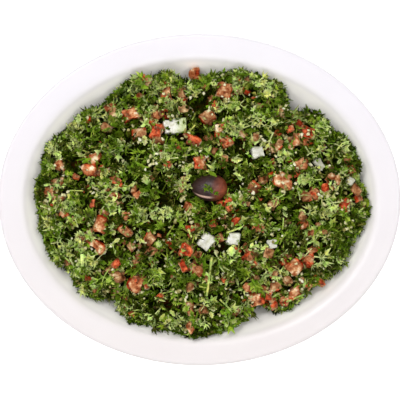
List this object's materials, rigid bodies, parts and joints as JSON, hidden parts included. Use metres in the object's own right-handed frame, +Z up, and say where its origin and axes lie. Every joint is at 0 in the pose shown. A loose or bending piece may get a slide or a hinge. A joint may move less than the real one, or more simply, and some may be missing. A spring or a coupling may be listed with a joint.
{
  "type": "tabbouleh salad",
  "caption": "Tabbouleh salad of chopped parsley, tomato, onion and bulgur, heaped in an oval white rimmed dish with a dark olive on top.",
  "frame": {"origin": "the middle of the dish's foot, on the table", "axes": "+X along the dish's long axis, +Y along its short axis, away from the viewer, +Z up"},
  "size_m": [0.26, 0.2144, 0.0617],
  "materials": {
    "white_glaze": "smooth white glaze",
    "parsley": "moist chopped curly parsley with bulgur",
    "olive_skin": "oily purple-black to red-brown skin",
    "onion_flesh": "wet white to pale green onion",
    "tomato_flesh": "wet red skin and salmon flesh"
  },
  "bodies": {
    "root": {"dish": "white_glaze", "salad": "parsley", "olive": "olive_skin", "onion_01": "onion_flesh", "onion_02": "onion_flesh", "onion_03": "onion_flesh", "onion_04": "onion_flesh", "onion_05": "onion_flesh", "onion_06": "onion_flesh", "onion_07": "onion_flesh", "tomato_01": "tomato_flesh", "tomato_02": "tomato_flesh", "tomato_03": "tomato_flesh", "tomato_04": "tomato_flesh", "tomato_05": "tomato_flesh", "tomato_06": "tomato_flesh", "tomato_07": "tomato_flesh", "tomato_08": "tomato_flesh", "tomato_09": "tomato_flesh", "tomato_10": "tomato_flesh", "tomato_11": "tomato_flesh", "tomato_12": "tomato_flesh", "tomato_13": "tomato_flesh", "tomato_14": "tomato_flesh", "tomato_15": "tomato_flesh", "tomato_16": "tomato_flesh", "tomato_17": "tomato_flesh", "tomato_18": "tomato_flesh", "tomato_19": "tomato_flesh", "tomato_20": "tomato_flesh", "tomato_21": "tomato_flesh", "tomato_22": "tomato_flesh", "tomato_23": "tomato_flesh", "tomato_24": "tomato_flesh", "tomato_25": "tomato_flesh", "tomato_26": "tomato_flesh", "tomato_27": "tomato_flesh"}
  },
  "joints": []
}
